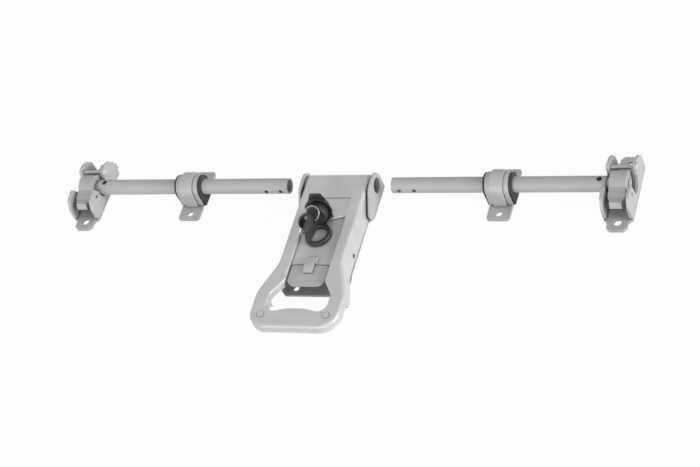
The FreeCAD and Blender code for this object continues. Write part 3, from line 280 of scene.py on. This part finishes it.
# Painted shade: the cams are nearly black nearer the middle along X than the bar tubes' ends.
CAST = steel("cast_satin", (0.42, 0.43, 0.415), rough=0.56, metal=0.2, grain=0.5, spread=0.07,
             dark_within=TUBE_END)
TUBE = steel("tube_satin", (0.43, 0.44, 0.425), rough=0.55, metal=0.15, stretch=(0.2, 1, 1))
PADDLE = steel("paddle_satin", (0.45, 0.46, 0.445), rough=0.5, metal=0.2)
RUBBER = rubber("bush_rubber", (0.035, 0.035, 0.035), rough=0.62)
PIN = steel("pin_dark", (0.035, 0.035, 0.035), rough=0.5, metal=0.3)
LOCK = plastic("lock_black", (0.03, 0.03, 0.03), rough=0.34)
KEY = plastic("key_black", (0.025, 0.025, 0.025), rough=0.42)
CHROME = bright("key_steel", (0.6, 0.6, 0.59), rough=0.2)
WIRE = bright("ring_wire", (0.36, 0.36, 0.355), rough=0.3)

SURFACES = {
    HANDLE: ["handle_shell", "grip_backing", "grip_rivets"],
    PANEL: ["handle_panel"],
    PADDLE: ["catch_paddle"],
    PRESSED: ["base_plate", "left_keeper", "right_keeper", "left_keeper_pin",
              "right_keeper_pin", "left_guide_strap", "right_guide_strap"],
    CAST: ["left_cam", "right_cam"],
    TUBE: ["left_bar_tube", "right_bar_tube", "hub_sleeve"],
    PIN: ["catch_pin"],
    RUBBER: ["left_guide_bush", "right_guide_bush"],
    LOCK: ["lock_housing", "lock_barrel", "dust_ring"],
    KEY: ["key_head", "spare_key_head"],
    WIRE: ["key_wire"],
    CHROME: ["key_blade", "spare_key_blade", "lock_tongue", "tongue_screw",
             "dust_ring_pin", "catch_spring"],
}
for material, names in SURFACES.items():
    for name in names:
        mesh = frame["nodes"][name].data
        mesh.materials.clear()
        mesh.materials.append(material)


# Lock: the housing is short and falls away behind its gable

turning = next(joint for joint in frame["joints"] if joint["name"] == "key_turn")
MOUTH = Vector(turning["pos_m"])
INWARD = Vector(turning["axis"]).normalized()
ACROSS = Vector((1, 0, 0))
RISE = ACROSS.cross(INWARD)
# The drum stands this far inside the housing's widest place.
DRUM_INSET = 0.0015
DRUM_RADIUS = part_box("lock_housing")[1].x - MOUTH.x - DRUM_INSET
# What lies deeper than the gable keeps a share of its depth.
GABLE_DEPTH = 0.003
HOUSING_SHARE = 0.2
CORE_SHARE = 0.05
# Per metre of kept depth the housing sinks by FALL metres and loses NARROW of its widths.
FALL = 1.3
NARROW = 35.0
REAR_HALF_WIDTH = 0.014


def round_flank(vertex, reach):
    """Draw a vertex below the mouth's middle in to the drum's round."""
    height = reach.dot(RISE)
    if height >= 0:
        return
    half = math.sqrt(max(DRUM_RADIUS ** 2 - height ** 2, 0))
    if abs(reach.x) > half:
        reach.x = math.copysign(half, reach.x)
        vertex.co.x = MOUTH.x + reach.x


def shorten(name, body, falls=False):
    """Stand a shorter copy of a piece of the lock in its place.

    Behind the gable it keeps a share of its depth. A piece that falls also sinks there and
    narrows. What is wider than the rear is drawn in to the rear's width.
    """
    mesh = frame["nodes"][name].data.copy()
    if "custom_normal" in mesh.attributes:
        mesh.attributes.remove(mesh.attributes["custom_normal"])
    mesh.shade_smooth()
    for vertex in mesh.vertices:
        reach = vertex.co - MOUTH
        if falls:
            round_flank(vertex, reach)
        deep = reach.dot(INWARD) - GABLE_DEPTH
        if deep <= 0:
            continue
        kept = deep * (HOUSING_SHARE if falls else CORE_SHARE)
        shift = INWARD * (kept - deep)
        if falls:
            shift -= RISE * kept * FALL
            over = abs(reach.x) - REAR_HALF_WIDTH
            if over > 0:
                shift -= ACROSS * math.copysign(over, reach.x)
            else:
                shift -= ACROSS * reach.x * kept * NARROW
        vertex.co += shift
    piece = stand(name + "_short", mesh)
    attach(piece, body)
    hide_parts(name)


shorten("lock_housing", "handle", falls=True)
for name in ("lock_barrel", "lock_tongue", "tongue_screw"):
    shorten(name, "lock_cylinder")


# Handle: a plate closes the face behind the lock, where the long housing passed

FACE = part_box("handle_shell")[1].z
SEAT_TOP_DEPTH = 0.00108
SEAT_UNDER_DEPTH = 0.0030
SEAT_LOW = Vector((-0.0130, -0.0700, FACE - SEAT_UNDER_DEPTH))
SEAT_HIGH = Vector((0.0110, -0.0360, FACE - SEAT_TOP_DEPTH))


def block(name, low, high, material):
    """A box between two corners."""
    corners = [(x, y, z) for x in (low.x, high.x) for y in (low.y, high.y) for z in (low.z, high.z)]
    mesh = bpy.data.meshes.new(name)
    mesh.from_pydata(corners, [], [(0, 1, 3, 2), (4, 6, 7, 5), (0, 4, 5, 1),
                                   (2, 3, 7, 6), (0, 2, 6, 4), (1, 5, 7, 3)])
    mesh.materials.append(material)
    return stand(name, mesh)


seat = block("lock_seat_plate", SEAT_LOW, SEAT_HIGH, HANDLE)
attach(seat, "handle")


# Handle: the hand opening's turned-in flanges, down both sides

FACE_SHEET = 0.004
SHEET_UNDERSIDE = FACE - FACE_SHEET
FLANGE_DEPTH = 0.0075
FLANGE_BOTTOM = SHEET_UNDERSIDE - FLANGE_DEPTH
FLANGE_SHEET = 0.0025
PROUD = 0.1
OPENING_HALF = 0.0445
OPENING_END = 0.2285
CORNER = 0.013
CORNER_STEPS = 8
SMOOTH_UNDER = math.radians(35)


def opening_side():
    """The opening's right edge, from the shoulder of its wave down round the corner."""
    points = [(0.0312, -0.180), (0.0362, -0.1875), (0.0402, -0.1935), (0.0423, -0.1967),
              (0.0431, -0.1980), (0.0437, -0.1994), (0.0443, -0.2010), (OPENING_HALF, -0.2030),
              (OPENING_HALF, -0.2100)]
    for step in range(CORNER_STEPS + 1):
        turn = math.radians(90 * step / CORNER_STEPS)
        points.append((OPENING_HALF - CORNER * (1 - math.cos(turn)),
                       -OPENING_END + CORNER * (1 - math.sin(turn))))
    return points


def flange(name, side):
    """Build one flange along the opening's outline, on the side given as 1 or -1.

    Its inner surface stands proud of the sheet's edge by a share of the flange's own sheet.
    """
    outline = opening_side()
    points = []
    last = len(outline) - 1
    for i, (x, y) in enumerate(outline):
        ahead = Vector(outline[min(i + 1, last)]) - Vector(outline[max(i - 1, 0)])
        out = Vector((-ahead.y, ahead.x)).normalized() * FLANGE_SHEET
        for height in (SHEET_UNDERSIDE, FLANGE_BOTTOM):
            points.append((side * (x - out.x * PROUD), y - out.y * PROUD, height))
            points.append((side * (x + out.x), y + out.y, height))
    faces = [(0, 1, 3, 2), (4 * last, 4 * last + 2, 4 * last + 3, 4 * last + 1)]
    for i in range(last):
        a, b = 4 * i, 4 * i + 4
        faces += [(a, a + 2, b + 2, b), (a + 1, b + 1, b + 3, a + 3),
                  (a, b, b + 1, a + 1), (a + 2, a + 3, b + 3, b + 2)]
    mesh = bpy.data.meshes.new(name)
    mesh.from_pydata(points, [], faces)
    solid = bmesh.new()
    solid.from_mesh(mesh)
    bmesh.ops.recalc_face_normals(solid, faces=solid.faces)
    solid.to_mesh(mesh)
    solid.free()
    mesh.materials.append(HANDLE)
    mesh.shade_smooth()
    mesh.set_sharp_from_angle(angle=SMOOTH_UNDER)
    piece = stand(name, mesh)
    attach(piece, "handle")


flange("right_flange", 1)
flange("left_flange", -1)


# Stage: a white floor that keeps a faint shadow

FLOOR_REACH = 12.0
FLOOR_DROP = 0.0003
SHADOW_SHARE = 0.08
GLOW = 1.02
floor_mesh = bpy.data.meshes.new("floor")
floor_mesh.from_pydata([(x * FLOOR_REACH, y * FLOOR_REACH, -FLOOR_DROP)
                        for x, y in ((-1, -1), (1, -1), (1, 1), (-1, 1))], [], [(0, 1, 2, 3)])
floor = stand("floor", floor_mesh)
floor_material, net, shader, place = tree("floor_white")
grain = ramp(net, noise(net, place, scale=3, detail=2, rough=0.55), 0.83, 0.85)
net.links.new(grain, shader.inputs["Base Color"])
shader.inputs["Roughness"].default_value = 0.9
shader.inputs["Specular IOR Level"].default_value = 0.1
glow = net.nodes.new("ShaderNodeEmission")
glow.inputs["Strength"].default_value = GLOW
share = calculate(net, "Math", "MULTIPLY", seen(net), 1 - SHADOW_SHARE)
veil = net.nodes.new("ShaderNodeMixShader")
net.links.new(share.outputs[0], veil.inputs["Fac"])
net.links.new(shader.outputs[0], veil.inputs[1])
net.links.new(glow.outputs[0], veil.inputs[2])
net.links.new(veil.outputs[0], net.nodes["Material Output"].inputs["Surface"])
floor.data.materials.append(floor_material)


# Surround: white where it is seen, dimmer where it lights

AMBIENT = 0.36
world = bpy.data.worlds.new("surround")
bpy.context.scene.world = world
world.use_nodes = True
net = world.node_tree
background = net.nodes["Background"]
background.inputs["Color"].default_value = (1, 1, 1, 1)
level = net.nodes.new("ShaderNodeMapRange")
level.inputs["To Min"].default_value = AMBIENT
level.inputs["To Max"].default_value = 1.0
net.links.new(seen(net), level.inputs["Value"])
net.links.new(level.outputs["Result"], background.inputs["Strength"])


def lamp(name, azimuth, elevation, level, spread):
    """A distant soft lamp. Azimuth 0 stands at -Y, 90 at +X."""
    data = bpy.data.lights.new(name, "SUN")
    data.energy = level * math.pi
    data.angle = math.radians(spread)
    made = stand(name, data)
    a, e = math.radians(azimuth), math.radians(elevation)
    back = Vector((math.sin(a) * math.cos(e), -math.cos(a) * math.cos(e), math.sin(e)))
    made.rotation_mode = "QUATERNION"
    made.rotation_quaternion = back.to_track_quat("Z", "Y")


lamp("front_lamp", azimuth=-5, elevation=15, level=0.46, spread=50)
lamp("right_lamp", azimuth=86, elevation=15, level=0.80, spread=30)
lamp("left_lamp", azimuth=-95, elevation=20, level=0.10, spread=50)
lamp("top_lamp", azimuth=10, elevation=75, level=0.06, spread=30)


# Camera, as the photograph was taken: its place and axes were fitted to the object's edges

CAMERA_PLACE = Vector((1.12265, -1.65494, 1.99069))
RIGHT = Vector((0.91818, 0.24986, -0.30743))
UP = Vector((-0.00330, 0.78081, 0.62476))
BACK = Vector((0.39615, -0.57263, 0.71775))
SENSOR_WIDTH = 36
FOCAL_LENGTH = 103.19
camera_data = bpy.data.cameras.new("camera")
camera_data.sensor_width = SENSOR_WIDTH
camera_data.sensor_fit = "HORIZONTAL"
camera_data.lens = FOCAL_LENGTH
camera_data.clip_start = 0.05
camera_data.clip_end = 60
camera = stand("camera", camera_data)
camera.rotation_mode = "QUATERNION"
camera.rotation_quaternion = Matrix((RIGHT, UP, BACK)).transposed().to_quaternion()
camera.location = CAMERA_PLACE
bpy.context.scene.camera = camera

bpy.context.scene.view_settings.view_transform = "Standard"
